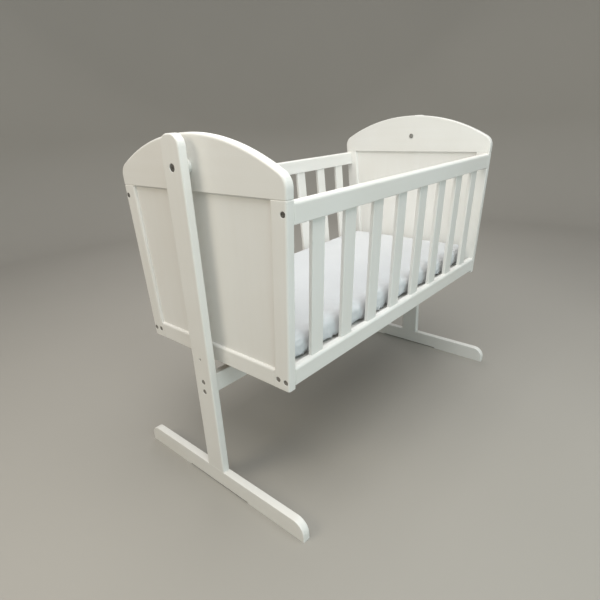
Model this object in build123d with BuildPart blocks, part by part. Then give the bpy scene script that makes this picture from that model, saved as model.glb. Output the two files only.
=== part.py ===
"""Swinging cradle: a slatted wooden cradle hung between two T-shaped stand ends.

Millimetres, +Z up. The origin is on the floor, under the middle of the cradle. +X runs along the
cradle's length, "left" is the -X end, "front" is the -Y side.
"""

from math import cos, radians, sin, tan
import os

from build123d import *

# ---- Driving dimensions: the cradle ----
clear_length = 810  # between the two end frames, for an 800 mm mattress
board = 18  # thickness of every main board
crib_bottom = 312  # height of the lower edge of the end frames
joint_height = 665  # height of the joint between the stiles and the top board
crown_height = 768.5  # highest point of the arched top board
crown_radius = 465
shoulder_radius = 29
half_width_bottom = 219.5  # half the outside width at crib_bottom
lean = radians(3.5)  # how far the long sides lean outwards
stile_width = 38
end_rail_height = 38
panel_thickness = 6
groove_depth = 8
tongue_gap = 0.5  # air at the bottom of each groove
rail_height = 38
bottom_rail_rise = 7.5  # how far up the lean the lower side rail starts
top_rail_rise = 312
slat_count = 8
slat_pitch = 95.5
slat_width = 35
slat_thickness = 9
slat_inset = 6  # from a side's outer face to its slats
slat_tenon = 12

# ---- Driving dimensions: base and mattress ----
cleat_width = 20
cleat_bottom = 318
cleat_top = 342
base_thickness = 6
base_gap = 1
mattress_length = 800
mattress_width = 400
mattress_height = 55
mattress_corner = 18
mattress_edge = 14
mattress_lift = 0.3  # keeps the mattress just clear of its base board

# ---- Driving dimensions: the stand ----
stand_gap = 16  # air between an end frame and its post
post_width = 55
post_top = 769
post_corner = 22
foot_length = 530
foot_height = 43
foot_corner = 28
foot_relief_length = 200
foot_relief_depth = 3
stretcher_bottom = 238
stretcher_height = 43
stretcher_bolt_heights = (247.5, 271)

# ---- Driving dimensions: pivots, bolts and dowels ----
pivot_height = 711
pivot_bolt_radius = 4
pivot_clearance = 0.05
pivot_head_radius = 6.8
pivot_head_height = 6
pivot_counterbore_radius = 7.5
pivot_counterbore_depth = 7.5
pivot_float = 0.3  # air between the parts that turn against each other
pivot_nut_radius = 5
pivot_flange_radius = 6.5
pivot_flange_thickness = 1.5
spacer_radius = 13
lock_height = 325
lock_radius = 3.5
lock_depth = 11
bolt_radius = 3
bolt_hole_radius = 3.1
bolt_head_radius = 5
bolt_head_height = 6
bolt_counterbore_radius = 5.3
bolt_counterbore_depth = 6.5
bolt_reach = 40  # how deep a bolt goes into the end of a rail
insert_radius = 5  # the threaded inserts in the ends of the side rails
insert_length = 15
nut_setback = 32  # from the end of the stretcher to its barrel nuts
nut_radius = 5
nut_length = 13
hex_socket = 5  # across the flats
hex_depth = 3
low_bolt_height = 330
side_bolt_depth = 9  # from a side's outer face to its bolts
cleat_bolt_depth = 28
dowel_radius = 3
dowel_length = 30
foot_dowel_radius = 5
foot_dowel_length = 50

# ---- Driving dimensions: rounded and eased edges ----
frame_round = 5  # the outer edges of the end frames
panel_side_round = 5  # the edges beside the end panels
rail_top_round = 6
post_round = 3.5
small_round = 2
joint_ease = 1.4  # small bevel where two boards meet
mouth_ease = 0.6  # small bevel round the mouth of a hole

# ---- Worked-out positions ----
end_inner_x = clear_length / 2
end_outer_x = end_inner_x + board
post_inner_x = end_outer_x + stand_gap
post_outer_x = post_inner_x + board
ENDS = {"left": -1, "right": 1}
SIDES = {"front": -1, "back": 1}


def lean_y(height, depth=0.0):
    """Distance from the middle plane to a leaning side, at a height, a depth in from its outer face."""
    return half_width_bottom + (height - crib_bottom) * tan(lean) - depth / cos(lean)


def side_point(side, rise, depth):
    """The (y, z) of a point in a side: rise up the lean, depth in from the outer face."""
    y = half_width_bottom + rise * sin(lean) - depth * cos(lean)
    z = crib_bottom + rise * cos(lean) + depth * sin(lean)
    return (side * y, z)


def slat_plane(side, x, rise):
    """Plane across a slat, centred on it, with its normal running up the lean."""
    y, z = side_point(side, rise, slat_inset + slat_thickness / 2)
    return Plane(origin=(x, y, z), x_dir=(1, 0, 0), z_dir=(0, side * sin(lean), cos(lean)))


def span(end, inner, outer):
    """The (low, high) of an X span that lies between two distances from the middle."""
    return (min(end * inner, end * outer), max(end * inner, end * outer))


def rods(points, radius, x_span, mode=Mode.ADD):
    """Round rods, or holes, along X: one at each (y, z) point."""
    low, high = x_span
    for y, z in points:
        with Locations(((low + high) / 2, y, z)):
            Cylinder(radius, high - low, rotation=(0, 90, 0), mode=mode)


def hex_sockets(points, x_outer, end):
    """Hexagon sockets cut into bolt heads whose faces are at x_outer."""
    low, high = span(end, x_outer - hex_depth, x_outer)
    for y, z in points:
        with BuildSketch(Plane.YZ.offset(low).move(Location((0, y, z)))) as socket:
            RegularPolygon(hex_socket / 2, 6, major_radius=False)
        extrude(socket.sketch, amount=high - low, mode=Mode.SUBTRACT)


def ease_mouths(points, radius, x_face, end):
    """Small bevels round the mouths of holes whose outer ends are at x_face."""
    turn = 90 if end > 0 else -90
    for y, z in points:
        with Locations((end * (x_face - mouth_ease / 2), y, z)):
            Cone(radius, radius + mouth_ease, mouth_ease, rotation=(0, turn, 0), mode=Mode.SUBTRACT)


def along(edge, direction):
    """True for a straight edge that runs along a direction."""
    return edge.geom_type == GeomType.LINE and abs((edge % 0.5).dot(Vector(*direction))) > 0.999


def rim(shape, x, above):
    """The edges of a board that lie at an X and higher than a height."""
    near = shape.edges().filter_by_position(Axis.X, x - 0.01, x + 0.01)
    return near.filter_by(lambda e: e.center().Z > above)


def save(node, name):
    """Label a finished piece and write its STEP file."""
    node.part.label = name
    export_step(node.part, f"parts/{name}.step")


# ---- Where the bolts of a long side go, as (y, z) points ----
top_bolt_rise = top_rail_rise + rail_height / 2
low_bolt_rise = (low_bolt_height - crib_bottom) / cos(lean)


def side_bolt_points(side):
    """The two bolts that hold one end of a long side."""
    return [side_point(side, rise, side_bolt_depth) for rise in (low_bolt_rise, top_bolt_rise)]


def cleat_bolt_point(side):
    """The bolt that holds one end of the cleat under the base board."""
    return side_point(side, low_bolt_rise, cleat_bolt_depth)


# ---- End frames ----
def stile_dowel_points(side):
    """The (x offset, y, z) of the dowels between a stile and the top board."""
    inner_y = lean_y(joint_height) - stile_width
    return [(side * (inner_y + 14), joint_height), (side * (inner_y + 26), joint_height)]


rail_dowel_heights = (318, 338.5)
end_rail_half = half_width_bottom - stile_width / cos(lean)


def cut_dowel_holes(x_middle):
    """Cut every dowel hole of one end frame into the piece that is being made."""
    for side in SIDES.values():
        for y, z in stile_dowel_points(side):
            with Locations((x_middle, y, z)):
                Cylinder(dowel_radius, dowel_length, mode=Mode.SUBTRACT)
        for z in rail_dowel_heights:
            y = lean_y(z) - stile_width / cos(lean)
            with Locations((x_middle, side * y, z)):
                Cylinder(dowel_radius, dowel_length, rotation=(90, 0, 0), mode=Mode.SUBTRACT)


def make_top_board(name, end):
    """Arched board across the top of an end frame, with round shoulders and a groove below."""
    low, high = span(end, end_inner_x, end_outer_x)
    crown_centre = crown_height - crown_radius
    side_top = joint_height + 60
    with BuildPart() as top_board:
        with BuildSketch(Plane.YZ.offset(low)):
            with BuildLine():
                Polyline(
                    (-lean_y(side_top), side_top),
                    (-lean_y(joint_height), joint_height),
                    (lean_y(joint_height), joint_height),
                    (lean_y(side_top), side_top),
                )
                Line((lean_y(side_top), side_top), (lean_y(side_top), crown_height))
                Line((lean_y(side_top), crown_height), (-lean_y(side_top), crown_height))
                Line((-lean_y(side_top), crown_height), (-lean_y(side_top), side_top))
            make_face()
            with Locations((0, crown_centre)):
                Circle(crown_radius, mode=Mode.INTERSECT)
        extrude(amount=board)
        shoulders = top_board.edges().filter_by(Axis.X).filter_by(lambda e: e.center().Z > joint_height + 1)
        fillet(shoulders, radius=shoulder_radius)
        fillet(rim(top_board, end * end_outer_x, joint_height + 1), radius=frame_round)
        fillet(rim(top_board, end * end_inner_x, joint_height + 1), radius=small_round)
        chamfer(top_board.faces().sort_by(Axis.Z)[0].edges(), length=joint_ease)
        groove_half = lean_y(joint_height) - stile_width / cos(lean) + groove_depth
        with Locations(((low + high) / 2, 0, joint_height)):
            Box(panel_thickness, 2 * groove_half, 2 * groove_depth, mode=Mode.SUBTRACT)
        rods([(0, pivot_height)], pivot_nut_radius, (low, high), Mode.SUBTRACT)
        cut_dowel_holes((low + high) / 2)
    save(top_board, name)


def cut_panel_side_rounds(x_middle, side):
    """Round over the stile's two edges beside the panel, down to the top of the lower rail."""
    start = crib_bottom + end_rail_height
    corner = Plane(
        origin=(x_middle, side * lean_y(start, stile_width), start),
        x_dir=(1, 0, 0),
        z_dir=(0, side * sin(lean), cos(lean)),
    )
    with BuildSketch(corner) as rounds:
        for face in (-1, 1):
            with Locations((face * (board - panel_side_round) / 2, side * panel_side_round / 2)):
                Rectangle(panel_side_round, panel_side_round)
        for face in (-1, 1):
            with Locations((face * (board / 2 - panel_side_round), side * panel_side_round)):
                Circle(panel_side_round, mode=Mode.SUBTRACT)
    extrude(rounds.sketch, amount=joint_height - crib_bottom, mode=Mode.SUBTRACT)


def make_stile(name, end, side):
    """Leaning upright of an end frame, grooved for the panel and bored for the side's bolts."""
    low, high = span(end, end_inner_x, end_outer_x)
    inner = stile_width
    groove_floor = crib_bottom + end_rail_height - groove_depth
    with BuildPart() as stile:
        with BuildSketch(Plane.YZ.offset(low)):
            with BuildLine():
                Polyline(
                    (side * lean_y(crib_bottom), crib_bottom),
                    (side * lean_y(joint_height), joint_height),
                    (side * lean_y(joint_height, inner), joint_height),
                    (side * lean_y(crib_bottom, inner), crib_bottom),
                    close=True,
                )
            make_face()
        extrude(amount=board)
        up = (0, side * sin(lean), cos(lean))
        for x, radius in ((end_outer_x, frame_round), (end_inner_x, small_round)):
            corners = rim(stile, end * x, crib_bottom).filter_by(lambda e: along(e, up)).sort_by(Axis.Y)
            fillet(corners[-1] if side > 0 else corners[0], radius=radius)
        chamfer(stile.faces().sort_by(Axis.Z)[-1].edges(), length=joint_ease)
        fillet(stile.faces().sort_by(Axis.Z)[0].edges(), radius=joint_ease)
        cut_panel_side_rounds((low + high) / 2, side)
        with BuildSketch(Plane.YZ.offset((low + high - panel_thickness) / 2)):
            with BuildLine():
                Polyline(
                    (side * lean_y(groove_floor, inner + 1), groove_floor),
                    (side * lean_y(joint_height, inner + 1), joint_height),
                    (side * lean_y(joint_height, inner - groove_depth), joint_height),
                    (side * lean_y(groove_floor, inner - groove_depth), groove_floor),
                    close=True,
                )
            make_face()
        extrude(amount=panel_thickness, mode=Mode.SUBTRACT)
        bolts = side_bolt_points(side) + [cleat_bolt_point(side)]
        rods(bolts, bolt_hole_radius, (low, high), Mode.SUBTRACT)
        bore_span = span(end, end_outer_x - bolt_counterbore_depth, end_outer_x)
        rods(bolts, bolt_counterbore_radius, bore_span, Mode.SUBTRACT)
        ease_mouths(bolts, bolt_counterbore_radius, end_outer_x, end)
        cut_dowel_holes((low + high) / 2)
    save(stile, name)


def make_end_rail(name, end):
    """Lower rail of an end frame, with a rounded top edge, a groove and the swing lock's socket."""
    low, high = span(end, end_inner_x, end_outer_x)
    top = crib_bottom + end_rail_height
    with BuildPart() as end_rail:
        with BuildSketch(Plane.YZ.offset(low)):
            with BuildLine():
                Polyline(
                    (-lean_y(crib_bottom, stile_width), crib_bottom),
                    (lean_y(crib_bottom, stile_width), crib_bottom),
                    (lean_y(top, stile_width), top),
                    (-lean_y(top, stile_width), top),
                    close=True,
                )
            make_face()
        extrude(amount=board)
        fillet(end_rail.edges().filter_by(Axis.Y).group_by(Axis.Z)[-1], radius=panel_side_round)
        fillet(end_rail.edges().filter_by(Axis.Y).group_by(Axis.Z)[0], radius=small_round)
        ends = end_rail.faces().sort_by(Axis.Y)
        chamfer(ends[0].edges() + ends[-1].edges(), length=joint_ease)
        with Locations(((low + high) / 2, 0, top)):
            Box(panel_thickness, foot_length, 2 * groove_depth, mode=Mode.SUBTRACT)
        lock_span = span(end, end_outer_x - lock_depth, end_outer_x)
        rods([(0, lock_height)], lock_radius, lock_span, Mode.SUBTRACT)
        cut_dowel_holes((low + high) / 2)
    save(end_rail, name)


def make_end_panel(name, end):
    """Thin tapered panel that sits in the grooves of an end frame."""
    low, high = span(end, end_inner_x, end_outer_x)
    bottom = crib_bottom + end_rail_height - groove_depth + tongue_gap
    top = joint_height + groove_depth - tongue_gap
    reach = stile_width - groove_depth + tongue_gap
    with BuildPart() as end_panel:
        with BuildSketch(Plane.YZ.offset((low + high - panel_thickness) / 2)):
            with BuildLine():
                Polyline(
                    (-lean_y(bottom, reach), bottom),
                    (lean_y(bottom, reach), bottom),
                    (lean_y(joint_height, reach), joint_height),
                    (lean_y(joint_height, reach), top),
                    (-lean_y(joint_height, reach), top),
                    (-lean_y(joint_height, reach), joint_height),
                    close=True,
                )
            make_face()
        extrude(amount=panel_thickness)
    save(end_panel, name)


def make_end_dowels(name, end):
    """The wooden dowels that join the top board, the stiles and the lower rail of one end frame."""
    x_middle = end * (end_inner_x + board / 2)
    with BuildPart() as end_dowels:
        for side in SIDES.values():
            for y, z in stile_dowel_points(side):
                with Locations((x_middle, y, z)):
                    Cylinder(dowel_radius, dowel_length)
            for z in rail_dowel_heights:
                y = lean_y(z) - stile_width / cos(lean)
                with Locations((x_middle, side * y, z)):
                    Cylinder(dowel_radius, dowel_length, rotation=(90, 0, 0))
    save(end_dowels, name)


# ---- Long sides ----
def slat_positions():
    """X of the middle of each slat, from the left end."""
    return [(i - (slat_count - 1) / 2) * slat_pitch for i in range(slat_count)]


def make_side_rail(name, side, rise, bolt_rise, top_round, tenon_rise):
    """Long rail of a side: mortised for the slats, bored for a bolt and its insert at each end."""
    corners = [(rise, 0), (rise, board), (rise + rail_height, board), (rise + rail_height, 0)]
    with BuildPart() as side_rail:
        with BuildSketch(Plane.YZ.offset(-end_inner_x)):
            with BuildLine():
                Polyline(*[side_point(side, up, depth) for up, depth in corners], close=True)
            make_face()
        extrude(amount=clear_length)
        long_edges = side_rail.edges().filter_by(Axis.X).group_by(Axis.Z)
        low_edges = long_edges[0] + long_edges[1]
        high_edges = long_edges[-1] + long_edges[-2]
        fillet(high_edges, radius=top_round)
        fillet(low_edges, radius=small_round)
        chamfer(side_rail.faces().sort_by(Axis.X)[0].edges(), length=joint_ease)
        chamfer(side_rail.faces().sort_by(Axis.X)[-1].edges(), length=joint_ease)
        for x in slat_positions():
            with BuildSketch(slat_plane(side, x, tenon_rise)):
                RectangleRounded(slat_width, slat_thickness, small_round)
            extrude(amount=slat_tenon, mode=Mode.SUBTRACT)
        point = side_point(side, bolt_rise, side_bolt_depth)
        for end in ENDS.values():
            rods([point], bolt_hole_radius, span(end, end_inner_x - bolt_reach, end_inner_x), Mode.SUBTRACT)
            rods([point], insert_radius, span(end, end_inner_x - insert_length, end_inner_x), Mode.SUBTRACT)
    save(side_rail, name)


def make_slat(name, side, x):
    """Flat upright slat with softened edges, tenoned into both rails."""
    start = bottom_rail_rise + rail_height - slat_tenon
    stop = top_rail_rise + slat_tenon
    with BuildPart() as slat:
        with BuildSketch(slat_plane(side, x, start)):
            RectangleRounded(slat_width, slat_thickness, small_round)
        extrude(amount=stop - start)
    save(slat, name)


def make_cleat(name, side):
    """Bar along the inside of a lower side rail, which carries the base board."""
    with BuildPart() as cleat:
        with BuildSketch(Plane.YZ.offset(-end_inner_x)):
            with BuildLine():
                Polyline(
                    (side * lean_y(cleat_bottom, board), cleat_bottom),
                    (side * lean_y(cleat_top, board), cleat_top),
                    (side * (lean_y(cleat_bottom, board) - cleat_width), cleat_top),
                    (side * (lean_y(cleat_bottom, board) - cleat_width), cleat_bottom),
                    close=True,
                )
            make_face()
        extrude(amount=clear_length)
        for end in ENDS.values():
            hole = span(end, end_inner_x - bolt_reach, end_inner_x)
            rods([cleat_bolt_point(side)], bolt_radius, hole, Mode.SUBTRACT)
    save(cleat, name)


# ---- Base and mattress ----
def make_base_board():
    """Thin board that lies on the two cleats."""
    width = 2 * (lean_y(cleat_top, board) - base_gap)
    with BuildPart() as base_board:
        with BuildSketch(Plane.XY.offset(cleat_top)):
            Rectangle(clear_length - 2 * base_gap, width)
        extrude(amount=base_thickness)
    save(base_board, "base_board")


def make_mattress():
    """Foam mattress in its fitted sheet, as one soft block with round edges."""
    with BuildPart() as mattress:
        with BuildSketch(Plane.XY.offset(cleat_top + base_thickness + mattress_lift)):
            RectangleRounded(mattress_length, mattress_width, mattress_corner)
        extrude(amount=mattress_height)
        flat_faces = mattress.faces().filter_by(Axis.Z)
        fillet(flat_faces.edges(), radius=mattress_edge)
    save(mattress, "mattress")


# ---- Bolts and nuts of the cradle ----
def make_side_bolts():
    """The eight hexagon-socket bolts that hold the long sides to the end frames."""
    head_face = end_outer_x - bolt_counterbore_depth + bolt_head_height
    with BuildPart() as side_bolts:
        for end in ENDS.values():
            for side in SIDES.values():
                points = side_bolt_points(side)
                rods(points, bolt_radius, span(end, end_inner_x - bolt_reach, head_face - bolt_head_height))
                rods(points, bolt_head_radius, span(end, head_face - bolt_head_height, head_face))
                hex_sockets(points, head_face, end)
    save(side_bolts, "side_bolts")


def make_cleat_screws():
    """The four long screws that hold the ends of the cleats."""
    head_face = end_outer_x - bolt_counterbore_depth + bolt_head_height
    with BuildPart() as cleat_screws:
        for end in ENDS.values():
            for side in SIDES.values():
                point = [cleat_bolt_point(side)]
                rods(point, bolt_radius, span(end, end_inner_x - bolt_reach, head_face - bolt_head_height))
                rods(point, bolt_head_radius, span(end, head_face - bolt_head_height, head_face))
                hex_sockets(point, head_face, end)
    save(cleat_screws, "cleat_screws")


def make_side_insert_nuts():
    """The eight threaded inserts in the ends of the side rails, which the side bolts screw into."""
    with BuildPart() as side_insert_nuts:
        for end in ENDS.values():
            insert = span(end, end_inner_x - insert_length, end_inner_x)
            for side in SIDES.values():
                rods(side_bolt_points(side), insert_radius, insert)
                rods(side_bolt_points(side), bolt_radius, insert, Mode.SUBTRACT)
    save(side_insert_nuts, "side_insert_nuts")


# ---- Pivots ----
def make_pivot_bolt(name, end):
    """Shouldered bolt that turns in the post and screws into the nut in the top board."""
    neck = post_outer_x - pivot_counterbore_depth + pivot_float
    head_face = neck + pivot_head_height
    with BuildPart() as pivot_bolt:
        rods([(0, pivot_height)], pivot_bolt_radius, span(end, end_inner_x + 2, neck))
        rods([(0, pivot_height)], pivot_head_radius, span(end, neck, head_face))
        hex_sockets([(0, pivot_height)], head_face, end)
    save(pivot_bolt, name)


def make_pivot_spacer(name, end):
    """Thick washer that keeps the end frame off its post."""
    with BuildPart() as pivot_spacer:
        width = span(end, end_outer_x, post_inner_x - pivot_float)
        rods([(0, pivot_height)], spacer_radius, width)
        fillet(pivot_spacer.edges(), radius=1)
        rods([(0, pivot_height)], pivot_bolt_radius + pivot_clearance, width, Mode.SUBTRACT)
    save(pivot_spacer, name)


def make_pivot_nut(name, end):
    """Sleeve nut through the top board, with a round flange on its inner face."""
    with BuildPart() as pivot_nut:
        rods([(0, pivot_height)], pivot_nut_radius, span(end, end_inner_x, end_outer_x))
        flange = span(end, end_inner_x - pivot_flange_thickness, end_inner_x)
        rods([(0, pivot_height)], pivot_flange_radius, flange)
        rods([(0, pivot_height)], pivot_bolt_radius, span(end, end_inner_x + 2, end_outer_x), Mode.SUBTRACT)
    save(pivot_nut, name)


# ---- Stand ----
foot_dowel_offset = 15


def cut_foot_dowel_holes(x_middle):
    """Cut the holes of the two dowels between a post and its foot."""
    with Locations((x_middle, -foot_dowel_offset, foot_height), (x_middle, foot_dowel_offset, foot_height)):
        Cylinder(foot_dowel_radius, foot_dowel_length, mode=Mode.SUBTRACT)


def make_post(name, end):
    """Upright of a stand end, with round top corners, the pivot's hole and the lock's hole."""
    low, high = span(end, post_inner_x, post_outer_x)
    with BuildPart() as post:
        with BuildSketch(Plane.YZ.offset(low)) as outline:
            with Locations((0, (foot_height + post_top) / 2)):
                Rectangle(post_width, post_top - foot_height)
            fillet(outline.vertices().group_by(Axis.Y)[-1], radius=post_corner)
        extrude(amount=board)
        faces = post.faces().filter_by(Axis.X)
        fillet(faces.edges().filter_by(lambda e: e.center().Z > foot_height + 1), radius=post_round)
        rods([(0, pivot_height)], pivot_bolt_radius + pivot_clearance, (low, high), Mode.SUBTRACT)
        bore_span = span(end, post_outer_x - pivot_counterbore_depth, post_outer_x)
        rods([(0, pivot_height)], pivot_counterbore_radius, bore_span, Mode.SUBTRACT)
        ease_mouths([(0, pivot_height)], pivot_counterbore_radius, post_outer_x, end)
        rods([(0, lock_height)], lock_radius, (low, high), Mode.SUBTRACT)
        bolts = [(0, z) for z in stretcher_bolt_heights]
        rods(bolts, bolt_hole_radius, (low, high), Mode.SUBTRACT)
        bore_span = span(end, post_outer_x - bolt_counterbore_depth, post_outer_x)
        rods(bolts, bolt_counterbore_radius, bore_span, Mode.SUBTRACT)
        ease_mouths(bolts, bolt_counterbore_radius, post_outer_x, end)
        cut_foot_dowel_holes((low + high) / 2)
    save(post, name)


def make_foot(name, end):
    """Long foot on edge, with quarter-round ends and a shallow relief under its middle."""
    low, high = span(end, post_inner_x, post_outer_x)
    half = foot_length / 2
    relief = foot_relief_length / 2
    with BuildPart() as foot:
        with BuildSketch(Plane.YZ.offset(low)) as outline:
            with BuildLine():
                Polyline(
                    (-half, 0),
                    (-relief - foot_relief_depth, 0),
                    (-relief, foot_relief_depth),
                    (relief, foot_relief_depth),
                    (relief + foot_relief_depth, 0),
                    (half, 0),
                    (half, foot_height),
                    (-half, foot_height),
                    close=True,
                )
            make_face()
            fillet(outline.vertices().group_by(Axis.Y)[-1], radius=foot_corner)
        extrude(amount=board)
        faces = foot.faces().filter_by(Axis.X)
        rounded = faces.edges().filter_by(lambda e: e.center().Z > 2 * foot_relief_depth)
        fillet(rounded, radius=small_round)
        cut_foot_dowel_holes((low + high) / 2)
    save(foot, name)


def make_stretcher():
    """Board on edge that ties the two posts together under the cradle."""
    with BuildPart() as stretcher:
        with BuildSketch(Plane.YZ.offset(-post_inner_x)):
            with Locations((0, stretcher_bottom + stretcher_height / 2)):
                Rectangle(board, stretcher_height)
        extrude(amount=2 * post_inner_x)
        fillet(stretcher.edges().filter_by(Axis.X), radius=small_round)
        chamfer(stretcher.faces().sort_by(Axis.X)[0].edges(), length=joint_ease)
        chamfer(stretcher.faces().sort_by(Axis.X)[-1].edges(), length=joint_ease)
        bolts = [(0, z) for z in stretcher_bolt_heights]
        for end in ENDS.values():
            rods(bolts, bolt_hole_radius, span(end, post_inner_x - bolt_reach, post_inner_x), Mode.SUBTRACT)
            for y, z in bolts:
                with Locations((end * (post_inner_x - nut_setback), board / 2 - nut_length / 2, z)):
                    Cylinder(nut_radius, nut_length, rotation=(90, 0, 0), mode=Mode.SUBTRACT)
    save(stretcher, "stretcher")


def make_stretcher_bolts():
    """The four hexagon-socket bolts that hold the stretcher to the posts."""
    head_face = post_outer_x - bolt_counterbore_depth + bolt_head_height
    points = [(0, z) for z in stretcher_bolt_heights]
    with BuildPart() as stretcher_bolts:
        for end in ENDS.values():
            rods(points, bolt_radius, span(end, post_inner_x - bolt_reach, head_face - bolt_head_height))
            rods(points, bolt_head_radius, span(end, head_face - bolt_head_height, head_face))
            hex_sockets(points, head_face, end)
    save(stretcher_bolts, "stretcher_bolts")


def make_stretcher_barrel_nuts():
    """The four barrel nuts in the ends of the stretcher."""
    points = [(0, z) for z in stretcher_bolt_heights]
    with BuildPart() as stretcher_barrel_nuts:
        for end in ENDS.values():
            for y, z in points:
                with Locations((end * (post_inner_x - nut_setback), board / 2 - nut_length / 2, z)):
                    Cylinder(nut_radius, nut_length, rotation=(90, 0, 0))
        for end in ENDS.values():
            hole = span(end, post_inner_x - nut_setback - 2 * nut_radius, post_inner_x)
            rods(points, bolt_radius, hole, Mode.SUBTRACT)
    save(stretcher_barrel_nuts, "stretcher_barrel_nuts")


def make_foot_dowels():
    """The four dowels between the posts and the feet."""
    with BuildPart() as foot_dowels:
        for end in ENDS.values():
            x_middle = end * (post_inner_x + board / 2)
            for y in (-foot_dowel_offset, foot_dowel_offset):
                with Locations((x_middle, y, foot_height)):
                    Cylinder(foot_dowel_radius, foot_dowel_length)
    save(foot_dowels, "foot_dowels")


# ---- Make every piece ----
os.makedirs("parts", exist_ok=True)

for end_name, end in ENDS.items():
    make_top_board(f"{end_name}_top_board", end)
    make_end_rail(f"{end_name}_end_rail", end)
    make_end_panel(f"{end_name}_end_panel", end)
    make_end_dowels(f"{end_name}_end_dowels", end)
    make_pivot_bolt(f"{end_name}_pivot_bolt", end)
    make_pivot_spacer(f"{end_name}_pivot_spacer", end)
    make_pivot_nut(f"{end_name}_pivot_nut", end)
    make_post(f"{end_name}_post", end)
    make_foot(f"{end_name}_foot", end)
    for side_name, side in SIDES.items():
        make_stile(f"{end_name}_{side_name}_stile", end, side)

for side_name, side in SIDES.items():
    top_tenon = top_rail_rise
    bottom_tenon = bottom_rail_rise + rail_height - slat_tenon
    make_side_rail(f"{side_name}_top_rail", side, top_rail_rise, top_bolt_rise, rail_top_round, top_tenon)
    bottom_name = f"{side_name}_bottom_rail"
    make_side_rail(bottom_name, side, bottom_rail_rise, low_bolt_rise, rail_top_round, bottom_tenon)
    make_cleat(f"{side_name}_cleat", side)
    for number, x in enumerate(slat_positions(), start=1):
        make_slat(f"{side_name}_slat_{number}", side, x)

make_base_board()
make_mattress()
make_side_bolts()
make_cleat_screws()
make_side_insert_nuts()
make_stretcher()
make_stretcher_bolts()
make_stretcher_barrel_nuts()
make_foot_dowels()
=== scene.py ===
# %% [markdown]
# # A swing cradle
# The cradle is a crib of painted boards, hung on two bolts between the T-shaped ends of a stand.
# The boards, bolts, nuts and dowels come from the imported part, which is loaded first and never moved.
# This file gives them their paint and metal, and makes the one soft thing: a mattress in its fitted sheet.

import bmesh
import bpy
import numpy as np
from mathutils import Matrix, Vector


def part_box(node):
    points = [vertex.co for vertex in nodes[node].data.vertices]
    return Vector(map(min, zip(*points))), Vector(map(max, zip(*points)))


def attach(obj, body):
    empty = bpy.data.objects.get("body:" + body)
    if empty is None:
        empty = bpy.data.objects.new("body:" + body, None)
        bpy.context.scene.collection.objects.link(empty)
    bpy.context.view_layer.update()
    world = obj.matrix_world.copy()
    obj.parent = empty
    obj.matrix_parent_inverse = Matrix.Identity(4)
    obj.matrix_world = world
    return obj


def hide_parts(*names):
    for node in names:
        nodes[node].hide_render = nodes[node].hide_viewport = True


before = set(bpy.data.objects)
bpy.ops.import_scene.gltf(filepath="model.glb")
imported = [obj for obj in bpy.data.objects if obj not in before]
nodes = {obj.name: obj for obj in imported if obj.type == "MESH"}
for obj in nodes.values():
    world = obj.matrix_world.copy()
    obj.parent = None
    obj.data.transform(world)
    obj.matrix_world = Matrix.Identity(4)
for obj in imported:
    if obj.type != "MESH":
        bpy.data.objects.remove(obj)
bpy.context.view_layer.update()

# %% [markdown]
# ## A mesh from whole arrays
# Every new surface here is a grid: a function of two parameters gives its points as one numpy array.
# A grid of points could be turned into faces one at a time, but that loop is slow and long.
# Index arithmetic makes all the faces at once, and a mask leaves out the faces that aren't wanted.


# %% Grid surfaces
def grid_faces(rows, columns, wanted=None, wraps=False):
    """Corner numbers of the squares of a grid, row by row; wanted is a mask of the squares to keep."""
    number = np.arange(rows * columns).reshape(rows, columns)
    if wraps:
        number = np.concatenate([number, number[:, :1]], axis=1)
    squares = np.stack([number[:-1, :-1], number[:-1, 1:], number[1:, 1:], number[1:, :-1]], axis=-1)
    return squares[wanted] if wanted is not None else squares.reshape(-1, 4)


def surface(name, points, faces, flat=None):
    """A mesh object from an array of points and an array of four-cornered faces.

    flat is each point's place on the uncut cloth, in metres, which becomes the UV map.
    """
    mesh = bpy.data.meshes.new(name)
    mesh.from_pydata(points.reshape(-1, 3).tolist(), [], faces.tolist())
    mesh.polygons.foreach_set("use_smooth", np.ones(len(mesh.polygons), bool))
    if flat is not None:
        layer = mesh.uv_layers.new(name="UVMap")
        layer.data.foreach_set("uv", flat.reshape(-1, 2)[faces.ravel()].ravel())
    made = bpy.data.objects.new(name, mesh)
    bpy.context.scene.collection.objects.link(made)
    return made


def tidy_mesh(piece, merge=0.0):
    """Joins points that fall together, drops loose ones and turns every face outwards."""
    mesh = bmesh.new()
    mesh.from_mesh(piece.data)
    if merge:
        bmesh.ops.remove_doubles(mesh, verts=mesh.verts, dist=merge)
    bmesh.ops.delete(mesh, geom=[v for v in mesh.verts if not v.link_faces], context="VERTS")
    bmesh.ops.recalc_face_normals(mesh, faces=mesh.faces)
    mesh.to_mesh(piece.data)
    mesh.free()


def points_of(piece):
    """The points of a mesh as an array."""
    flat = np.zeros(len(piece.data.vertices) * 3)
    piece.data.vertices.foreach_get("co", flat)
    return flat.reshape(-1, 3)


def move_points(piece, points):
    """Puts an array of points back into a mesh."""
    piece.data.vertices.foreach_set("co", points.ravel())
    piece.data.update()


print("a 3 by 4 grid has", len(grid_faces(3, 4)), "faces")

# %% [markdown]
# ## The stage
# A product is often shown on one sheet of paper that curves up behind it, so no line marks the horizon.
# A flat plane and a wall would do for one view, but this object is looked at from all sides.
# A wide shallow bowl, open at the top, gives the same pale floor and backdrop in every direction.

# %% Floor and backdrop
floor_radius = 2.5
backdrop_curve = 0.7
backdrop_height = 2.6
floor_rings, curve_rings, wall_rings = 12, 24, 6
backdrop_sides = 96


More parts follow.
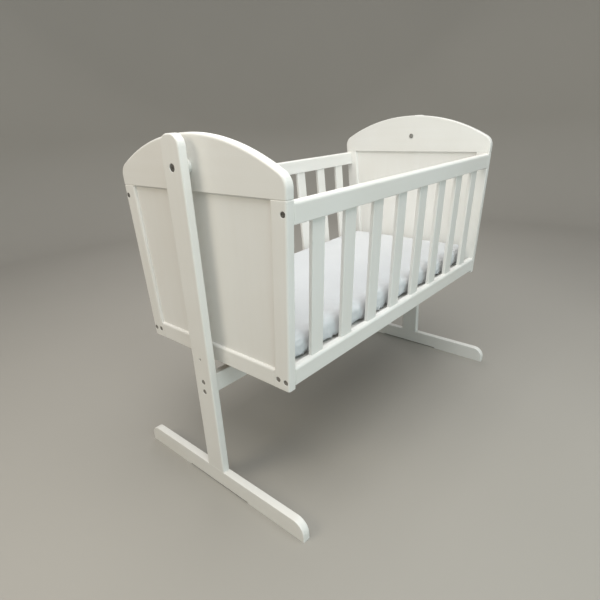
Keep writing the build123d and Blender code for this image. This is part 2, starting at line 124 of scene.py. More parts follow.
def make_backdrop():
    """A profile turned about Z: flat floor, a quarter circle, then a wall."""
    flat_run = np.linspace(0.0, floor_radius, floor_rings)
    turn = np.linspace(0, np.pi / 2, curve_rings)[1:]
    rise = np.linspace(backdrop_curve, backdrop_height, wall_rings)[1:]
    wall_radius = np.full(len(rise), floor_radius + backdrop_curve)
    radius = np.concatenate([flat_run, floor_radius + backdrop_curve * np.sin(turn), wall_radius])
    height = np.concatenate([np.zeros(floor_rings), backdrop_curve * (1 - np.cos(turn)), rise])
    around = np.linspace(0, 2 * np.pi, backdrop_sides + 1)[:-1]
    x, y = radius[:, None] * np.cos(around), radius[:, None] * np.sin(around)
    points = np.stack([x, y, np.broadcast_to(height[:, None], x.shape)], axis=-1)
    backdrop = surface("backdrop", points, grid_faces(len(radius), len(around), wraps=True))
    tidy_mesh(backdrop, merge=1e-6)
    return backdrop


backdrop = make_backdrop()
print("backdrop faces:", len(backdrop.data.polygons))

# %% [markdown]
# ## The camera
# The cradle is seen from the left and a little above, close up, with a wide lens.
# A camera could be aimed with a constraint at a target, which hides its real angles.
# Here its three axes are worked out from a heading, a tilt and a slight roll, and put into one matrix.

# %% Camera
camera_place = (-0.9434, -0.7310, 0.7860)
camera_heading = np.radians(-47.74)
camera_tilt = np.radians(21.71)
camera_roll = np.radians(-3.07)
camera_lens = 27.78
sensor_width = 36


def make_camera():
    """Forward from heading and tilt; right is level; then right and up turn by the roll."""
    forward = np.array([
        -np.sin(camera_heading) * np.cos(camera_tilt),
        np.cos(camera_heading) * np.cos(camera_tilt),
        -np.sin(camera_tilt),
    ])
    level = np.cross(forward, (0.0, 0.0, 1.0))
    level /= np.linalg.norm(level)
    upright = np.cross(level, forward)
    right = np.cos(camera_roll) * level + np.sin(camera_roll) * upright
    up = np.cos(camera_roll) * upright - np.sin(camera_roll) * level
    lens = bpy.data.cameras.new("camera")
    lens.lens = camera_lens
    lens.sensor_width = sensor_width
    camera = bpy.data.objects.new("camera", lens)
    bpy.context.scene.collection.objects.link(camera)
    turned = np.eye(4)
    turned[:3, :3] = np.stack([right, up, -forward], axis=1)
    turned[:3, 3] = camera_place
    camera.matrix_world = Matrix(turned.tolist())
    bpy.context.scene.camera = camera
    return camera


camera = make_camera()
print("camera at", camera_place)

# %% [markdown]
# ## Light
# The room has a wide ceiling light, so the tops of the boards are the brightest and the shadows are soft.
# A sky picture could light it, but area lamps can be placed and tinted one at a time.
# One large lamp hangs above. A warm one fills the end, a cool one the long side, and a weak one the back.

# %% Lamps
lamps = {
    "ceiling": {
        "place": (-0.45, -0.6, 2.5), "aim": (0, 0, 0.3), "size": 2.2, "watts": 50, "tint": (1, 0.985, 0.95),
    },
    "warm_fill": {
        "place": (-2.1, 0.5, 1.7), "aim": (0, 0, 0.5), "size": 0.9, "watts": 12.5, "tint": (1, 0.90, 0.73),
    },
    "cool_fill": {
        "place": (-0.7, -2.3, 1.0), "aim": (0, 0, 0.5), "size": 2.0, "watts": 17.5, "tint": (0.70, 0.95, 1),
    },
    "back_fill": {
        "place": (1.7, 1.9, 1.9), "aim": (0, 0, 0.5), "size": 1.6, "watts": 14, "tint": (1, 0.98, 0.95),
    },
}
world_tint = (0.93, 0.96, 1, 1)
world_strength = 0.42


def make_lamp(name, place, aim, size, watts, tint):
    """A square area lamp at a place, whose -Z axis points at its aim."""
    light = bpy.data.lights.new(name, "AREA")
    light.size = size
    light.energy = watts
    light.color = tint
    lamp = bpy.data.objects.new(name, light)
    bpy.context.scene.collection.objects.link(lamp)
    back = np.subtract(place, aim)
    back = back / np.linalg.norm(back)
    nearly_level = (0.02, 1.0, 0.0)  # leans a little, so that it is never in line with a lamp's axis
    side = np.cross(nearly_level, back)
    side /= np.linalg.norm(side)
    turned = np.eye(4)
    turned[:3, :3] = np.stack([side, np.cross(back, side), back], axis=1)
    turned[:3, 3] = place
    lamp.matrix_world = Matrix(turned.tolist())


for lamp_name, lamp in lamps.items():
    make_lamp(lamp_name, **lamp)
world = bpy.data.worlds.new("room")
world.use_nodes = True
world.node_tree.nodes["Background"].inputs["Color"].default_value = world_tint
world.node_tree.nodes["Background"].inputs["Strength"].default_value = world_strength
bpy.context.scene.world = world
bpy.context.scene.view_settings.view_transform = "Standard"
print("lamps:", ", ".join(lamps))

# %% [markdown]
# ## Writing materials as sums
# A finish is a small graph of nodes, and most of it is arithmetic on patterns.
# Wiring each Math node by hand buries the idea, so a socket here answers to plus, minus, times and power.
# One method, `make`, adds any other node from its type, its settings and the values of its sockets.


# %% Sockets that do sums
class Socket:
    """One output of a node. Arithmetic on it adds Math nodes; either side may be a plain number."""

    def __init__(self, finish, link):
        self.finish = finish
        self.link = link

    def math(self, operation, first, second):
        return self.finish.make("ShaderNodeMath", {"operation": operation}, {0: first, 1: second})

    def __add__(self, other):
        return self.math("ADD", self, other)

    def __radd__(self, other):
        return self.math("ADD", other, self)

    def __sub__(self, other):
        return self.math("SUBTRACT", self, other)

    def __rsub__(self, other):
        return self.math("SUBTRACT", other, self)

    def __mul__(self, other):
        return self.math("MULTIPLY", self, other)

    def __rmul__(self, other):
        return self.math("MULTIPLY", other, self)

    def __pow__(self, other):
        return self.math("POWER", self, other)


class Finish:
    """A material that is being made."""

    def __init__(self, name):
        self.material = bpy.data.materials.new(name)
        self.material.use_nodes = True
        self.tree = self.material.node_tree
        self.tree.nodes.clear()

    def make(self, kind, settings=None, values=None, out=0):
        """Adds a node: its settings first, then its sockets, each a number, a colour or a Socket."""
        node = self.tree.nodes.new(kind)
        for key, value in (settings or {}).items():
            setattr(node, key, value)
        for key, value in (values or {}).items():
            if isinstance(value, Socket):
                self.tree.links.new(value.link, node.inputs[key])
            else:
                node.inputs[key].default_value = value
        return Socket(self, node.outputs[out]) if node.outputs else None

    def place(self, stretch=(1, 1, 1), source="Object"):
        """Where a point is on the piece, in metres, stretched before a pattern reads it."""
        where = self.make("ShaderNodeTexCoord", out=source)
        return self.make("ShaderNodeMapping", {}, {"Vector": where, "Scale": stretch})

    def noise(self, where, scale, detail=2.0, roughness=0.5):
        """Cloudy pattern from 0 to 1; scale is in clouds to the metre."""
        values = {"Vector": where, "Scale": scale, "Detail": detail, "Roughness": roughness}
        return self.make("ShaderNodeTexNoise", {}, values)

    def stripes(self, where, axis, scale):
        """Soft stripes from 0 to 1 across an axis; they repeat every pi / (10 * scale) metres."""
        values = {"Vector": where, "Scale": scale}
        return self.make("ShaderNodeTexWave", {"bands_direction": axis}, values, out="Fac")

    def spread(self, value, low, high, to_low=0.0, to_high=1.0):
        """Stretches a value's span from low..high to another span and stops at its ends."""
        values = {"Value": value, "From Min": low, "From Max": high, "To Min": to_low, "To Max": to_high}
        return self.make("ShaderNodeMapRange", {}, values)

    def mixed(self, share, first, second):
        """A colour that goes from the first to the second as share goes from 0 to 1."""
        values = {"Factor": share, 6: first, 7: second}
        return self.make("ShaderNodeMix", {"data_type": "RGBA"}, values, out=2)

    def bump(self, height, depth):
        """A normal from a height pattern; depth is how far 1 stands out, in metres."""
        return self.make("ShaderNodeBump", {}, {"Height": height, "Distance": depth, "Strength": 1.0})

    def skin(self, values):
        """The shader itself, joined to the output."""
        shader = self.make("ShaderNodeBsdfPrincipled", {}, values)
        self.make("ShaderNodeOutputMaterial", {}, {"Surface": shader})
        return self.material


print("a socket answers to + - * and **, with a socket or a plain number on the other side")

# %% [markdown]
# ## White satin paint on wood
# The boards are softwood under a sprayed white lacquer. Up close it has three scales of detail:
# a fine orange-peel, the wood's grain just showing through along each board, and slow changes of tone.
# One paint for every board would run the grain the wrong way on some, so it is made once per direction.

# %% Paint
paint_relief = 0.00011
paint_white = (0.86, 0.853, 0.825, 1)
paint_warm = (0.83, 0.815, 0.775, 1)
grain_stretch = {"x": (0.035, 1, 1), "y": (1, 0.035, 1), "z": (1, 1, 0.035)}


def make_paint(grain):
    """Noise drawn out along the grain, plus fine noise for the peel; together about a tenth of a mm high."""
    finish = Finish("white_paint_grain_" + grain)
    where = finish.place()
    along = finish.place(grain_stretch[grain])
    fibres = finish.noise(along, 420, detail=3, roughness=0.6)
    bands = finish.noise(along, 60, detail=2)
    peel = finish.noise(where, 900, detail=1)
    clouds = finish.noise(where, 5, detail=3)
    tone = finish.spread(clouds * 0.7 + bands * 0.3, 0.35, 0.65)
    height = fibres * 0.55 + bands * 0.3 + peel * 0.25
    return finish.skin({
        "Base Color": finish.mixed(tone, paint_warm, paint_white),
        "Roughness": finish.spread(clouds * 0.5 + fibres * 0.5, 0.3, 0.7, 0.30, 0.44),
        "Normal": finish.bump(height, paint_relief),
        "Specular IOR Level": 0.5,
        "Coat Weight": 0.12,
        "Coat Roughness": 0.22,
    })


paints = {grain: make_paint(grain) for grain in grain_stretch}
print("paints:", ", ".join(p.name for p in paints.values()))

# %% [markdown]
# ## Steel, zinc and bare wood
# The hexagon-socket bolts are dark plated steel, and the nuts are bright zinc.
# Metal could be a plain grey mirror, but real plating is a little cloudy and finely scratched by a spanner.
# The dowels are bare beech, and the base is hardboard: white on top, brown with a mesh print below.


# %% Metals
def make_steel(name, dark, light, low_roughness, high_roughness):
    """Two greys mixed by cloudy noise, with roughness from finer noise and tiny scratches as bump."""
    finish = Finish(name)
    where = finish.place()
    clouds = finish.noise(where, 240, detail=3)
    scratches = finish.noise(finish.place((1, 0.06, 1)), 2600, detail=2)
    wear = finish.spread(clouds, 0.35, 0.65)
    return finish.skin({
        "Base Color": finish.mixed(wear, dark, light),
        "Metallic": 1.0,
        "Roughness": finish.spread(scratches * 0.5 + clouds * 0.5, 0.3, 0.7, low_roughness, high_roughness),
        "Normal": finish.bump(scratches, 0.00002),
    })


smoothest, roughest = 0.22, 0.38
dark_steel = make_steel(
    "dark_plated_steel", (0.24, 0.23, 0.215, 1), (0.42, 0.405, 0.385, 1), smoothest, roughest,
)
zinc = make_steel("zinc_plate", (0.42, 0.42, 0.41, 1), (0.60, 0.60, 0.58, 1), smoothest, roughest)
print("metals:", dark_steel.name, zinc.name)


# %% Beech and hardboard
white_face = 0.0005  # how thick the hardboard's white face is


def make_beech():
    """Pale brown with short dark flecks: noise drawn out along the dowel's length, pushed to its peaks."""
    finish = Finish("bare_beech")
    fibres = finish.noise(finish.place((1, 0.08, 0.08)), 700, detail=3)
    flecks = finish.spread(finish.noise(finish.place((1, 0.2, 0.2)), 1500), 0.62, 0.72)
    colour = finish.mixed(fibres, (0.50, 0.32, 0.17, 1), (0.66, 0.46, 0.27, 1))
    return finish.skin({
        "Base Color": finish.mixed(flecks * 0.6, colour, (0.30, 0.17, 0.08, 1)),
        "Roughness": finish.spread(fibres, 0.3, 0.7, 0.5, 0.7),
        "Normal": finish.bump(fibres, 0.0001),
    })


def make_hardboard(top):
    """White above the height top; below it brown pressed fibre with a crossed wire-mesh print."""
    finish = Finish("white_faced_hardboard")
    where = finish.place()
    height = finish.make("ShaderNodeSeparateXYZ", {}, {"Vector": where}, out="Z")
    painted = finish.make("ShaderNodeMath", {"operation": "GREATER_THAN"}, {0: height, 1: top})
    mesh_print = finish.stripes(where, "X", 90.0) * finish.stripes(where, "Y", 90.0)
    fibres = finish.noise(where, 650, detail=4, roughness=0.7)
    clouds = finish.noise(where, 9, detail=3)
    brown = finish.mixed(fibres, (0.16, 0.085, 0.04, 1), (0.34, 0.20, 0.105, 1))
    white = finish.mixed(clouds, paint_warm, paint_white)
    return finish.skin({
        "Base Color": finish.mixed(painted, brown, white),
        "Roughness": finish.spread(fibres - painted * 0.35, 0.0, 1.0, 0.45, 0.85),
        "Normal": finish.bump((mesh_print * 0.6 + fibres * 0.4) * (1 - painted * 0.85), 0.0004),
    })


beech = make_beech()
hardboard = make_hardboard(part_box("base_board")[1].z - white_face)
print("wood:", beech.name, hardboard.name)

# %% [markdown]
# ## Paint every piece
# Each board takes the paint whose grain runs along it: rails along the cradle, feet and top boards
# across it, posts, stiles, slats and panels upwards. A list of names could say which, but the longest side
# of a piece's box tells it, so a new board would be painted right without being added to a list.


# %% Finishes for the part's pieces
def grain_of(name):
    """The axis along which a board is longest, except that a panel's grain always runs up."""
    if "panel" in name:
        return "z"
    low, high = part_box(name)
    return "xyz"[int(np.argmax(np.subtract(high, low)))]


def finish_of(name):
    """The material of one piece of the part."""
    if name == "base_board":
        return hardboard
    if "dowels" in name:
        return beech
    if "nut" in name:
        return zinc
    if "bolt" in name or "screw" in name:
        return dark_steel
    return paints[grain_of(name)]


def put_on(piece, material):
    """Makes a material the only one on a piece."""
    piece.data.materials.clear()
    piece.data.materials.append(material)


def make_paper():
    """Matt paper for the stage, hardly uneven in tone."""
    finish = Finish("paper")
    tone = finish.noise(finish.place(), 1.3, detail=2)
    return finish.skin({
        "Base Color": finish.mixed(tone, (0.36, 0.342, 0.31, 1), (0.385, 0.366, 0.333, 1)),
        "Roughness": 0.75,
    })


for node_name, node in nodes.items():
    put_on(node, finish_of(node_name))
put_on(backdrop, make_paper())
print("painted", len(nodes), "pieces")

# %% [markdown]
# ## The mattress core
# Inside the sheet is a block of foam in a thin woven ticking, a little crowned because foam swells.
# A cube with a bevel would have flat faces. Instead a box is rounded by a formula:
# a point on the box is pulled in to a smaller box, then pushed out again by the radius, the way it came.

# %% Core of the mattress
mattress_low, mattress_high = (np.array(corner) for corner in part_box("mattress"))
mattress_centre = (mattress_low + mattress_high) / 2
sheet_gap = 0.0048  # between the core and the sheet's place
core_half = (mattress_high - mattress_low) / 2 - sheet_gap
edge_radius = 0.017
crown = 0.0045  # how much higher the middle is than the edges
core_step = 0.008


def rounded_box(points, half, radius):
    """Point on a box, clamped to the box less the radius, plus the radius along what is left."""
    inner = np.clip(points, -(half - radius), half - radius)
    out = points - inner
    return inner + radius * out / np.maximum(np.linalg.norm(out, axis=-1, keepdims=True), 1e-9)


def crowned(points, half):
    """Raises the upper half by the crown times, for x and y, one minus the fourth power of the share."""
    share = np.clip(np.abs(points[..., :2]) / half[:2], 0, 1) ** 4
    lift = crown * (1 - share[..., 0]) * (1 - share[..., 1])
    raised = points.copy()
    raised[..., 2] += lift * np.clip(points[..., 2] / half[2], 0, 1)
    return raised


def make_core():
    """Six grids, one for each side of a box, rounded, crowned and joined along their edges."""
    all_points, all_faces, start = [], [], 0
    for axis in range(3):
        across = [a for a in range(3) if a != axis]
        counts = [int(np.ceil(2 * core_half[a] / core_step)) + 1 for a in across]
        first, second = np.meshgrid(*[np.linspace(-1, 1, count) for count in counts], indexing="ij")
        for end in (-1.0, 1.0):
            sides = np.empty(first.shape + (3,))
            sides[..., across[0]], sides[..., across[1]], sides[..., axis] = first, second, end
            all_points.append((sides * core_half).reshape(-1, 3))
            all_faces.append(grid_faces(*counts) + start)
            start += len(all_points[-1])
    box_points = np.concatenate(all_points)
    shaped = crowned(rounded_box(box_points, core_half, edge_radius), core_half) + mattress_centre
    core = surface("mattress_core", shaped, np.concatenate(all_faces))
    tidy_mesh(core, merge=1e-5)
    return core


core = make_core()
print("core faces:", len(core.data.polygons), "size:", (2 * core_half).round(4))

# %% [markdown]
# ## The fitted sheet, flat
# A fitted sheet is one rectangle of jersey with a square cut from each corner. The two cut edges of each
# corner are sewn together, which makes a box, and an elastic in the hem draws it in under the mattress.
# It could be a shell round the core, but then its size would be a guess and its folds painted on.
# Here the flat cloth is a grid, each point knows its place on it, and a formula folds it over the core.

# %% Cut the sheet
cloth_step = 0.0051
side_drop = float(2 * core_half[2])
under_turn = 0.055
overhang = side_drop + under_turn
half_length, half_width = (float(v) for v in core_half[:2])
sheet_away = 0.0018  # how far off the core the cloth starts
sheet_under = 0.0009  # and how far below it, where the mattress lies on its board


def evenly(inner, outer, step):
    """Steps from -outer to outer with one exactly at -inner and at inner."""
    middle = np.linspace(-inner, inner, int(round(2 * inner / step)) + 1)
    beyond = np.linspace(inner, outer, int(round((outer - inner) / step)) + 1)[1:]
    return np.concatenate([-beyond[::-1], middle, beyond])


def folded(s, t):
    """Where a point of the flat cloth lies on the box, and how far it is past the box's top edge.

    Past the edge the cloth goes down the side, and past the side's height it goes in underneath.
    There the flap narrows towards the corner seam, as gathers would make it.
    """
    past = np.maximum(np.clip(np.abs(s) - half_length, 0, None), np.clip(np.abs(t) - half_width, 0, None))
    down = np.clip(past, 0, side_drop)
    under = np.clip(past - side_drop, 0, None)
    x = np.clip(s, -half_length, half_length) * (1 - under / half_length)
    y = np.clip(t, -half_width, half_width) * (1 - under / half_width)
    return np.stack([x, y, core_half[2] - down], axis=-1), past


# %% [markdown]
# ## Where the cloth is full
# The elastic gathers the hem, so the sides carry more cloth than they need, and it shows as creases that
# fan upwards from the places where the elastic grips. The corners have little upright tucks beside the seam.
# Leaving all that to chance in a simulation takes many tries, so the fullness is laid in before it, by
# formula, in its right places, and the simulation then lets it settle as cloth would.

# %% Fans, tucks and soft waves
fan_spacing = 0.062
fan_stray = 0.02  # how far a grip point may lie from its even place
fan_reach = 0.042
fan_height = 0.0068
fan_blunt = 0.004  # keeps a fan's creases from turning sharply beside its grip point
fan_start = 0.01  # how far from its grip point a fan is at its full height
tuck_length = 0.017
tuck_reach = 0.045
tuck_height = 0.0034
ease_height = 0.0042
ease_reach = 0.05  # how far from its edge the top is uneven
fullest = 0.0062  # the furthest that the cloth may stand off
closest = -0.0008  # and the furthest that it may go in
seam_ease = 0.004  # how far from a corner seam the fullness starts


def waves(points, seed, count, shortest, longest):
    """A sum of sine waves with seeded directions, lengths and starts, mostly from -1 to 1."""
    random = np.random.default_rng(seed)
    total = np.zeros(points.shape[:-1])
    for _ in range(count):
        direction = random.normal(size=points.shape[-1])
        direction /= np.linalg.norm(direction)
        length = random.uniform(shortest, longest)
        total += np.sin(2 * np.pi * (points @ direction) / length + random.uniform(0, 2 * np.pi))
    return total / np.sqrt(count)


def fans(along, past, half, seed):
    """Creases that fan up from grip points on the hem.

    Each grip point adds the cosine of a multiple of the angle seen from it, faded out with distance.
    """
    random = np.random.default_rng(seed)
    total = np.zeros_like(along)
    for grip in np.arange(-half + fan_stray, half, fan_spacing):
        grip_along = grip + random.uniform(-fan_stray, fan_stray)
        grip_past = side_drop * random.uniform(0.95, 1.15)
        lean = random.uniform(-0.5, 0.9)
        reach = fan_reach * random.uniform(0.7, 1.3)
        sideways, upwards = along - grip_along, grip_past - past
        away = np.hypot(sideways, upwards)
        angle = np.arctan2(sideways - lean * upwards, np.abs(upwards) + fan_blunt)
        ridges = np.cos(random.integers(7, 12) * angle)
        total += ridges * np.exp(-away / reach) * np.clip(away / fan_start, 0, 1)
    return total


def fullness(s, t, past):
    """How far the cloth stands off because of fans on the sides, tucks at the corners and ease all over."""
    on_long_side = np.abs(t) >= half_width
    along = np.where(on_long_side, s, t)
    half = np.where(on_long_side, half_length, half_width)
    fan = np.zeros_like(s)
    for seed, side in enumerate((t >= half_width, t <= -half_width, s >= half_length, s <= -half_length)):
        fan += np.where(side, fans(along, past, half_length if seed < 2 else half_width, seed + 3), 0)
    low = np.clip(past / side_drop, 0, 1)
    corner = np.clip(1 - (half - np.abs(along)) / tuck_reach, 0, 1)
    tuck = np.cos(2 * np.pi * (half - np.abs(along)) / tuck_length) * corner * low
    inside = np.clip(np.minimum(half_length - np.abs(s), half_width - np.abs(t)), 0, None)
    fading = 0.2 + 0.8 * np.exp(-inside / ease_reach)
    ease = waves(np.stack([s, t], axis=-1), seed=11, count=9, shortest=0.045, longest=0.13) * fading
    at_seam = np.where(past > 0, np.clip((half - np.abs(along)) / seam_ease, 0, 1), 1)
    return (fan_height * fan * low**0.6 + tuck_height * tuck + ease_height * ease) * at_seam


def make_sheet():
    """The flat grid without its corner squares, folded over the core, rounded, and pushed out where full."""
    s_line = evenly(half_length, half_length + overhang, cloth_step)
    t_line = evenly(half_width, half_width + overhang, cloth_step)
    s, t = np.meshgrid(s_line, t_line, indexing="ij")
    box_points, past = folded(s, t)
    grown = core_half + sheet_away
    shaped = crowned(rounded_box(box_points / core_half * grown, grown, edge_radius + sheet_away), grown)
    outward = shaped - np.clip(shaped, -(core_half - edge_radius), core_half - edge_radius)
    outward /= np.maximum(np.linalg.norm(outward, axis=-1, keepdims=True), 1e-9)
    shaped = shaped + outward * np.clip(fullness(s, t, past), closest, fullest)[..., None]
    shaped[..., 2] = np.maximum(shaped[..., 2], -core_half[2] - sheet_under)
    corner_square = (np.abs(s[:-1, :-1] + s[1:, 1:]) / 2 > half_length) \
        & (np.abs(t[:-1, :-1] + t[1:, 1:]) / 2 > half_width)
    sheet = surface("fitted_sheet", shaped + mattress_centre, grid_faces(*s.shape, wanted=~corner_square),
                    np.stack([s, t], axis=-1))
    on_seam = (np.abs(s) >= half_length) & (np.abs(t) >= half_width)
    along = np.where(np.abs(t) >= half_width, s, t)
    for label, values in {"past": past, "seam": on_seam, "along": along}.items():
        layer = sheet.data.attributes.new(label, "FLOAT", "POINT")
        layer.data.foreach_set("value", values.astype(np.float32).ravel())
    tidy_mesh(sheet, merge=2e-5)
    return sheet


def attribute_of(piece, label):
    """A point attribute as an array."""
    values = np.zeros(len(piece.data.vertices))
    piece.data.attributes[label].data.foreach_get("value", values)
    return values


sheet = make_sheet()
print("sheet points:", len(sheet.data.vertices))

# %% [markdown]
# ## Let it settle
# Cloth simulation does the rest: gravity lays the sheet on the core, the core holds it out, and the part
# under the mattress is held still because the elastic and the mattress's weight hold it there.
# Towards the hem the cloth may grow by a few thousandths, so that the fullness isn't pulled flat.

# %% Cloth simulation
settle_frames = 22
held_from = side_drop + 0.010  # cloth further past the edge than this is held
weight_steps = 40
off_board = 0.0004  # the least air between the cloth and its board


def weigh(piece, label, weights):
    """A vertex group from an array of weights, each rounded to one of a few steps."""
    group = piece.vertex_groups.new(name=label)
    steps = np.round(np.clip(weights, 0, 1) * weight_steps).astype(int)
    for step in np.unique(steps[steps > 0]):
        group.add(np.flatnonzero(steps == step).tolist(), step / weight_steps, "REPLACE")


def settle(sheet, core):
    """Runs the cloth over the core and gives the settled points."""
    past = attribute_of(sheet, "past")
    weigh(sheet, "held", (past > held_from).astype(float))
    weigh(sheet, "eased", np.clip(past / side_drop, 0, 1))
    core.modifiers.new("Hold out", "COLLISION")
    core.collision.thickness_outer = 0.001
    core.collision.cloth_friction = 15
    cloth = sheet.modifiers.new("Cloth", "CLOTH")
    settings = {
        "quality": 6, "mass": 0.12, "air_damping": 4, "tension_stiffness": 15, "compression_stiffness": 15,
        "shear_stiffness": 5, "bending_stiffness": 0.05, "vertex_group_mass": "held",
        "vertex_group_shrink": "eased", "shrink_min": -0.002, "shrink_max": -0.004,
    }
    for key, value in settings.items():
        setattr(cloth.settings, key, value)
    cloth.collision_settings.distance_min = 0.001
    cloth.collision_settings.collision_quality = 3
    cloth.point_cache.frame_start = 1
    cloth.point_cache.frame_end = settle_frames
    for moment in range(1, settle_frames + 1):
        bpy.context.scene.frame_set(moment)
    settled = points_of(sheet.evaluated_get(bpy.context.evaluated_depsgraph_get()))
    sheet.modifiers.clear()
    core.modifiers.clear()
    bpy.context.scene.frame_set(1)
    return settled


board_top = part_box("base_board")[1].z
started = points_of(sheet)
settled = settle(sheet, core)
settled[:, 2] = np.maximum(settled[:, 2], board_top + off_board)
move_points(sheet, settled)
print("the cloth moved by up to", round(float(np.abs(settled - started).max()), 4), "m")
sheet.vertex_groups.clear()
print("sheet box:", points_of(sheet).min(0).round(4), points_of(sheet).max(0).round(4))

# %% [markdown]
# ## Seams and the elastic hem
# Each corner seam is a narrow overlocked ridge, and the hem is a flat tube of jersey with the elastic
# inside, gathered into small ripples. A bump line would do from afar, but both show on a lifted mattress.
# They are tubes: a ring of points carried along a path, with the path taken from the settled cloth.


# %% Tubes along a path
def tube(name, path, wide, thick, around, closed):
    """An oval ring, wide across the path and thick upwards, carried along a path of points.

    wide and thick are half sizes and may change along the path. The ring's own axes are the sideways
    direction, square to the path and to Z or to the outward direction, and the direction square to both.
    """
    ahead = np.roll(path, -1, axis=0) - np.roll(path, 1, axis=0)
    if not closed:
        ahead[0], ahead[-1] = path[1] - path[0], path[-1] - path[-2]
    ahead /= np.linalg.norm(ahead, axis=1, keepdims=True)
    reference = np.where(np.abs(ahead[:, 2:]) > 0.7, (1.0, 0.0, 0.0), (0.0, 0.0, 1.0))
    sideways = np.cross(ahead, reference)
    sideways /= np.linalg.norm(sideways, axis=1, keepdims=True)
    upwards = np.cross(sideways, ahead)
    turn = np.linspace(0, 2 * np.pi, around + 1)[:-1]
    wide, thick = (np.broadcast_to(v, len(path))[:, None, None] for v in (wide, thick))
    ring = wide * np.cos(turn)[None, :, None] * sideways[:, None] \
        + thick * np.sin(turn)[None, :, None] * upwards[:, None]
    points = path[:, None] + ring
    if closed:
        points = np.concatenate([points, points[:1]])
    length = np.concatenate([[0], np.cumsum(np.linalg.norm(np.diff(points[:, 0], axis=0), axis=1))])
    flat = np.stack(np.broadcast_arrays(length[:, None], turn * 0.001), axis=-1)
    made = surface(name, points, grid_faces(len(points), around, wraps=True), flat)
    tidy_mesh(made, merge=1e-7)
    return made


def capped(half_size, count, run=3):
    """Half sizes along an open tube that shrink to almost nothing at both ends."""
    place = np.minimum(np.arange(count), np.arange(count)[::-1])
    return half_size * np.sqrt(np.clip(place / run, 0.001, 1))


seam_half_size = 0.0008


def make_seams(sheet):
    """One ridge for each corner, along the sewn points of the settled cloth, from the top down and under."""
    on_seam = attribute_of(sheet, "seam") > 0.5
    points, past = points_of(sheet)[on_seam], attribute_of(sheet, "past")[on_seam]
    ridges = []
    for x_side in (-1, 1):
        for y_side in (-1, 1):
            here = ((points[:, 0] - mattress_centre[0]) * x_side > 0) & ((points[:, 1] * y_side) > 0)
            path = points[here][np.argsort(past[here])]
            half_size = capped(seam_half_size, len(path))
            ridges.append(tube("ridge", path, half_size, half_size, 8, False))
    with bpy.context.temp_override(active_object=ridges[0], selected_editable_objects=ridges):
        bpy.ops.object.join()
    ridges[0].name = ridges[0].data.name = "sheet_seams"
    return ridges[0]


hem_half_width = 0.0042
hem_half_thick = 0.00055
hem_corner = 0.03
hem_ripples = 190
hem_points = 1400
ripple_height = 0.00012
ripple_share = 0.12  # how much wider and narrower the hem gets with each ripple


def make_hem():
    """A flat rippled tube round a rectangle with round corners, just under the core, at the sheet's edge."""
    half = np.array([half_length, half_width]) - under_turn
    turn = np.linspace(0, 2 * np.pi, 1601)[:-1]
    circle = np.stack([np.cos(turn), np.sin(turn)], axis=-1)
    squared = np.sign(circle) * np.abs(circle) ** 0.12 * half
    inner = np.clip(squared, -(half - hem_corner), half - hem_corner)
    out = squared - inner
    flat_path = inner + hem_corner * out / np.maximum(np.linalg.norm(out, axis=1, keepdims=True), 1e-9)
    step = np.linalg.norm(np.diff(flat_path, axis=0, append=flat_path[:1]), axis=1)
    length = np.concatenate([[0], np.cumsum(step)])
    even = np.linspace(0, length[-1], hem_points + 1)[:-1]
    looped = np.concatenate([flat_path, flat_path[:1]])
    path = np.stack([np.interp(even, length, looped[:, k]) for k in (0, 1)], axis=-1)
    ripple = np.sin(2 * np.pi * hem_ripples * even / length[-1])
    z = mattress_centre[2] - core_half[2] - sheet_under - 0.0001 + ripple_height * ripple
    points = np.concatenate([path + mattress_centre[:2], z[:, None]], axis=1)
    return tube("sheet_hem", points, hem_half_width * (1 + ripple_share * ripple), hem_half_thick, 10, True)


seams = make_seams(sheet)
hem = make_hem()
print("seam points:", len(seams.data.vertices), "hem points:", len(hem.data.vertices))

# %% [markdown]
# ## Jersey and ticking
# Jersey is knitted, so close up it has fine ribs one way and finer rows the other, and a soft fuzz.
# The pattern has to follow the cloth over its folds, so it reads the cloth's own flat map and not the room.
# The elastic also draws in creases that are thinner than a square of the grid. A finer grid would carry
# them at a great cost, so they are height in the finish, laid out by how far a point is along its side and
# past its edge.
# The ticking on the core is a plain close weave; it lies on straight sides, so it can read the room.


# %% Fabric
def fine_creases(finish):
    """Thin slanting creases that the elastic draws into the sides, from none higher up to full at the hem.

    Noise that is long up the cloth and short along it is folded about its middle, which makes sharp ridges.
    """
    along = finish.make("ShaderNodeAttribute", {"attribute_name": "along"}, out="Fac")
    past = finish.make("ShaderNodeAttribute", {"attribute_name": "past"}, out="Fac")
    slant = finish.noise(finish.place((9, 9, 9)), 1.0, detail=0) * 3.4 - 1.7
    where = finish.make("ShaderNodeCombineXYZ", {}, {"X": along + past * slant, "Y": past * 0.22})
    off_middle = finish.noise(where, 95, detail=1) - 0.5
    folded_noise = finish.make("ShaderNodeMath", {"operation": "ABSOLUTE"}, {0: off_middle})
    return (1 - finish.spread(folded_noise, 0.0, 0.13)) * finish.spread(past, 0.3 * side_drop, side_drop)


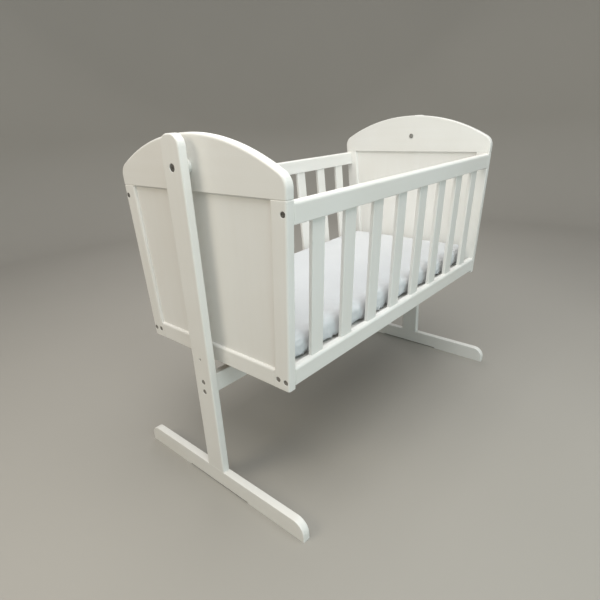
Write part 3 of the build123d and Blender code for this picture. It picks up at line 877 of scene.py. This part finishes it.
def make_jersey():
    """Ribs across the flat cloth, crossed by finer rows, with fuzzy roughness and slow changes of tone, in
    colours greyed as painted shade.
    """
    finish = Finish("cotton_jersey")
    flat = finish.place(source="UV")
    ribs = finish.stripes(flat, "X", 190.0)
    rows = finish.stripes(flat, "Y", 260.0)
    fuzz = finish.noise(flat, 1400, detail=2)
    clouds = finish.noise(flat, 14, detail=3)
    height = fine_creases(finish) * crease_share + ribs * 0.45 + rows * 0.3 + fuzz * 0.25
    return finish.skin({
        "Base Color": finish.mixed(clouds * 0.7 + ribs * rows * 0.3, sheet_dark_with_painted_shade, sheet_light_with_painted_shade),
        "Roughness": finish.spread(fuzz, 0.3, 0.7, 0.78, 0.92),
        "Normal": finish.bump(height, knit_relief),
        "Sheen Weight": 0.12,
        "Sheen Roughness": 0.5,
        "Specular IOR Level": 0.2,
    })


def make_ticking():
    """A plain weave: two sets of threads crossed by multiplying them, slightly off white."""
    finish = Finish("foam_ticking")
    where = finish.place()
    threads = [finish.stripes(where, axis, 120.0) for axis in "XYZ"]
    weave = threads[0] * threads[1] + threads[2] * 0.5
    clouds = finish.noise(where, 20, detail=3)
    return finish.skin({
        "Base Color": finish.mixed(clouds, (0.62, 0.60, 0.55, 1), (0.72, 0.70, 0.65, 1)),
        "Roughness": finish.spread(weave, 0, 1, 0.75, 0.95),
        "Normal": finish.bump(weave, 0.0002),
    })


# The sheet's lighter and darker tones, mixed at random; both are greyed below white cotton as painted shade,
# for the crib's walls shading the mattress.
sheet_light_with_painted_shade = (0.69, 0.705, 0.72, 1)
sheet_dark_with_painted_shade = (0.62, 0.636, 0.655, 1)
knit_relief = 0.00016
crease_share = 7.0  # how much deeper a crease is than the knit
jersey = make_jersey()
for piece in (sheet, seams, hem):
    put_on(piece, jersey)
put_on(core, make_ticking())
print("fabrics:", jersey.name, core.data.materials[0].name)

# %% [markdown]
# ## What moves with the mattress
# The soft pieces ride with the mattress, and the sheet stands for the part's plain mattress block, which is
# hidden.

# %% Smooth and ride
smoothing = sheet.modifiers.new("Smooth", "SUBSURF")
smoothing.levels = smoothing.render_levels = 1
for piece in (sheet, core, seams, hem):
    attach(piece, "mattress")
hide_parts("mattress")
